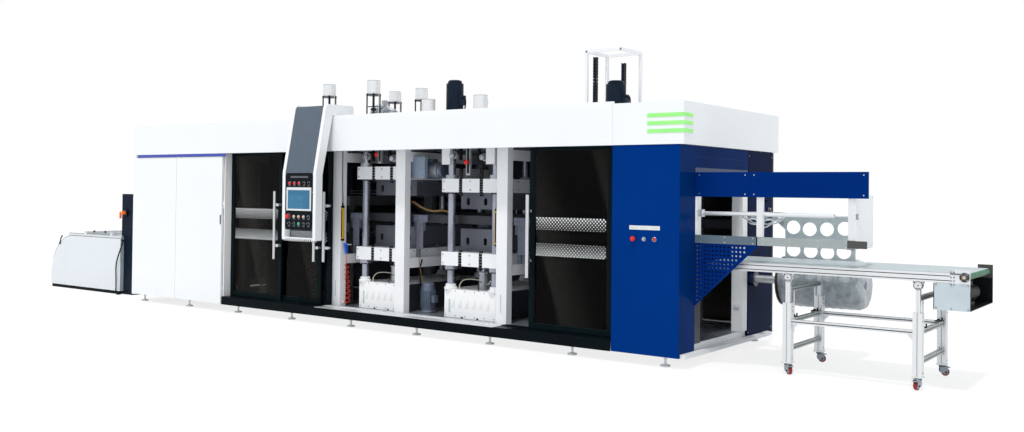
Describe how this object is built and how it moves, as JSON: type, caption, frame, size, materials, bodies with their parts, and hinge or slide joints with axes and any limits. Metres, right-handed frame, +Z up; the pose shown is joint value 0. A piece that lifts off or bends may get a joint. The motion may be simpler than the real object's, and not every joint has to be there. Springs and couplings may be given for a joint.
{
  "type": "thermoforming machine",
  "caption": "Enclosed pressure-forming line for plastic sheet: roll unwinder, sliding glass doors, forming and cutting presses, pendant panel, scrap winder and belt conveyor.",
  "frame": {"origin": "on the floor, under the middle of the line's outline", "axes": "+X along the line from the unwinder to the conveyor, +Y from the glass-door side to the rear wall, +Z up"},
  "size_m": [14.49, 2.726, 3.315],
  "materials": {
    "white_paint": "smooth powder coat",
    "blue_gloss": "high gloss",
    "dark_paint": "satin",
    "teal_frame": "satin frames with smoked glass panes",
    "grey_paint": "satin",
    "brushed": "brushed",
    "chromed": "polished",
    "aluminium": "anodised",
    "black_plastic": "moulded",
    "red_plastic": "moulded",
    "orange_plastic": "moulded",
    "green_light": "lit strips",
    "film_clear": "clear film in layers",
    "belt_green": "smooth",
    "belt_pale": "smooth",
    "caster_red": "moulded",
    "black_rubber": "sheath",
    "hose_red": "coiled hose",
    "gun_blue": "moulded"
  },
  "bodies": {
    "cabinet": {"base_frame": "white_paint", "front_plinth": "dark_paint", "frame_posts": "white_paint", "fascia_panels": "white_paint", "white_panels": "white_paint", "corner_panels": "blue_gloss", "light_strips": "green_light", "press_frame": "white_paint", "tie_columns": "chromed", "transport_rails": "aluminium", "heater_bank": "brushed", "drive_motors": "grey_paint", "roof_cylinders": "white_paint", "cable_mast": "white_paint", "roof_motors": "dark_paint", "guard_panels": "blue_gloss", "guard_rails": "aluminium", "scrap_web": "film_clear", "leg_frame": "aluminium", "unwinder_panels": "white_paint", "unwinder_base": "dark_paint", "power_cable": "black_rubber", "air_gun": "gun_blue", "air_hose": "hose_red"},
    "front_door_1": {"left_door_1": "white_paint"},
    "front_door_2": {"left_door_2": "white_paint"},
    "leaf_1": {"glass_door_1": "teal_frame"},
    "leaf_2": {"glass_door_2": "teal_frame"},
    "leaf_3": {"glass_door_3": "teal_frame"},
    "leaf_4": {"glass_door_4": "teal_frame"},
    "leaf_5": {"glass_door_5": "teal_frame"},
    "leaf_6": {"glass_door_6": "teal_frame"},
    "pendant": {"pendant_shell": "white_paint", "pendant_face": "black_plastic", "pendant_buttons": "red_plastic"},
    "pendant_stop": {"pendant_estop": "red_plastic"},
    "corner_stop": {"corner_estop": "red_plastic"},
    "key": {"key_switch": "chromed"},
    "red_button": {"stop_button": "red_plastic"},
    "forming_lower": {"forming_lower_platen": "white_paint"},
    "forming_upper": {"forming_upper_platen": "white_paint"},
    "cutting_lower": {"cutting_lower_platen": "white_paint"},
    "cutting_upper": {"cutting_upper_platen": "white_paint"},
    "conveyor": {"conveyor_bed": "aluminium", "conveyor_belt": "belt_pale", "conveyor_motor": "dark_paint"},
    "belt_drive": {"drive_roller": "belt_green"},
    "belt_tail": {"tail_roller": "brushed"},
    "scrap": {"scrap_roll": "film_clear"},
    "film": {"film_roll": "film_clear"},
    "brake": {"brake_lever": "dark_paint"},
    "isolator": {"isolator_handle": "orange_plastic"},
    "fork_1": {"caster_fork_1": "brushed"},
    "wheel_1": {"caster_wheel_1": "caster_red"},
    "fork_2": {"caster_fork_2": "brushed"},
    "wheel_2": {"caster_wheel_2": "caster_red"},
    "fork_3": {"caster_fork_3": "brushed"},
    "wheel_3": {"caster_wheel_3": "caster_red"},
    "fork_4": {"caster_fork_4": "brushed"},
    "wheel_4": {"caster_wheel_4": "caster_red"}
  },
  "joints": [
    {"name": "front_door_1_hinge", "type": "hinge", "parent": "cabinet", "child": "front_door_1", "pos_m": [-4.333, -1.022, 1.2], "axis": [0, 0, 1], "range_deg": [-110, 0]},
    {"name": "front_door_2_hinge", "type": "hinge", "parent": "cabinet", "child": "front_door_2", "pos_m": [-3.267, -1.022, 1.2], "axis": [0, 0, 1], "range_deg": [-110, 0]},
    {"name": "leaf_1_slide", "type": "slide", "parent": "cabinet", "child": "leaf_1", "axis": [1, 0, 0], "range_m": [0, 0.6]},
    {"name": "leaf_3_slide", "type": "slide", "parent": "cabinet", "child": "leaf_3", "axis": [1, 0, 0], "range_m": [0, 1.195]},
    {"name": "leaf_2_slide", "type": "slide", "parent": "cabinet", "child": "leaf_2", "axis": [1, 0, 0], "range_m": [0, 0.301]},
    {"name": "leaf_6_slide", "type": "slide", "parent": "cabinet", "child": "leaf_6", "axis": [1, 0, 0], "range_m": [-0.95, 0.07]},
    {"name": "leaf_5_slide", "type": "slide", "parent": "cabinet", "child": "leaf_5", "axis": [1, 0, 0], "range_m": [-0.97, 0]},
    {"name": "leaf_4_slide", "type": "slide", "parent": "cabinet", "child": "leaf_4", "axis": [1, 0, 0], "range_m": [-2, 0]},
    {"name": "pendant_slide", "type": "slide", "parent": "cabinet", "child": "pendant", "axis": [1, 0, 0], "range_m": [-1.5, 4]},
    {"name": "pendant_stop_press", "type": "slide", "parent": "pendant", "child": "pendant_stop", "axis": [0, 1, 0], "range_m": [0, 0.006]},
    {"name": "corner_stop_press", "type": "slide", "parent": "cabinet", "child": "corner_stop", "axis": [0, 1, 0], "range_m": [0, 0.006]},
    {"name": "red_button_press", "type": "slide", "parent": "cabinet", "child": "red_button", "axis": [0, 1, 0], "range_m": [0, 0.004], "stiffness_N_per_m": 800},
    {"name": "key_turn", "type": "hinge", "parent": "cabinet", "child": "key", "pos_m": [4.344, -1.039, 1.245], "axis": [0, 1, 0], "range_deg": [0, 90]},
    {"name": "forming_lower_lift", "type": "slide", "parent": "cabinet", "child": "forming_lower", "axis": [0, 0, 1], "range_m": [-0.12, 0.115]},
    {"name": "forming_upper_press", "type": "slide", "parent": "cabinet", "child": "forming_upper", "axis": [0, 0, 1], "range_m": [-0.155, 0.15]},
    {"name": "cutting_lower_lift", "type": "slide", "parent": "cabinet", "child": "cutting_lower", "axis": [0, 0, 1], "range_m": [-0.12, 0.115]},
    {"name": "cutting_upper_press", "type": "slide", "parent": "cabinet", "child": "cutting_upper", "axis": [0, 0, 1], "range_m": [-0.09, 0.3]},
    {"name": "conveyor_height", "type": "slide", "parent": "cabinet", "child": "conveyor", "axis": [0, 0, 1], "range_m": [-0.1, 0.1]},
    {"name": "drive_roller_spin", "type": "hinge", "parent": "conveyor", "child": "belt_drive", "pos_m": [7.2, -0.147, 1.01], "axis": [0, 1, 0], "continuous": true},
    {"name": "tail_roller_spin", "type": "hinge", "parent": "conveyor", "child": "belt_tail", "pos_m": [4.87, -0.147, 1.01], "axis": [0, 1, 0], "continuous": true},
    {"name": "scrap_roll_spin", "type": "hinge", "parent": "cabinet", "child": "scrap", "pos_m": [5.13, 0.703, 0.77], "axis": [1, 0, 0], "continuous": true},
    {"name": "film_roll_spin", "type": "hinge", "parent": "cabinet", "child": "film", "pos_m": [-6.285, 0.158, 0.505], "axis": [0, 1, 0], "continuous": true},
    {"name": "brake_lever_turn", "type": "hinge", "parent": "cabinet", "child": "brake", "pos_m": [-6.977, -0.697, 0.74], "axis": [0, 1, 0], "range_deg": [-40, 10]},
    {"name": "isolator_turn", "type": "hinge", "parent": "cabinet", "child": "isolator", "pos_m": [-5.165, -0.653, 1.29], "axis": [0, 1, 0], "range_deg": [-90, 0]},
    {"name": "caster_swivel_1", "type": "hinge", "parent": "cabinet", "child": "fork_1", "pos_m": [5.635, -0.557, 0.1], "axis": [0, 0, 1], "continuous": true},
    {"name": "caster_spin_1", "type": "hinge", "parent": "fork_1", "child": "wheel_1", "pos_m": [5.65645, -0.575, 0.0375], "axis": [0.6428, 0.766, 0], "continuous": true},
    {"name": "caster_swivel_2", "type": "hinge", "parent": "cabinet", "child": "fork_2", "pos_m": [6.815, -0.557, 0.1], "axis": [0, 0, 1], "continuous": true},
    {"name": "caster_spin_2", "type": "hinge", "parent": "fork_2", "child": "wheel_2", "pos_m": [6.81014, -0.58457, 0.0375], "axis": [0.9848, -0.1736, 0], "continuous": true},
    {"name": "caster_swivel_3", "type": "hinge", "parent": "cabinet", "child": "fork_3", "pos_m": [5.635, 0.313, 0.1], "axis": [0, 0, 1], "continuous": true},
    {"name": "caster_spin_3", "type": "hinge", "parent": "fork_3", "child": "wheel_3", "pos_m": [5.66131, 0.32258, 0.0375], "axis": [-0.342, 0.9397, 0], "continuous": true},
    {"name": "caster_swivel_4", "type": "hinge", "parent": "cabinet", "child": "fork_4", "pos_m": [6.815, 0.313, 0.1], "axis": [0, 0, 1], "continuous": true},
    {"name": "caster_spin_4", "type": "hinge", "parent": "fork_4", "child": "wheel_4", "pos_m": [6.83925, 0.327, 0.0375], "axis": [-0.5, 0.866, 0], "continuous": true}
  ],
  "couplings": [
    {"joint": "leaf_2_slide", "follows": "leaf_3_slide", "ratio": 0.2515},
    {"joint": "tail_roller_spin", "follows": "drive_roller_spin", "ratio": 1}
  ]
}
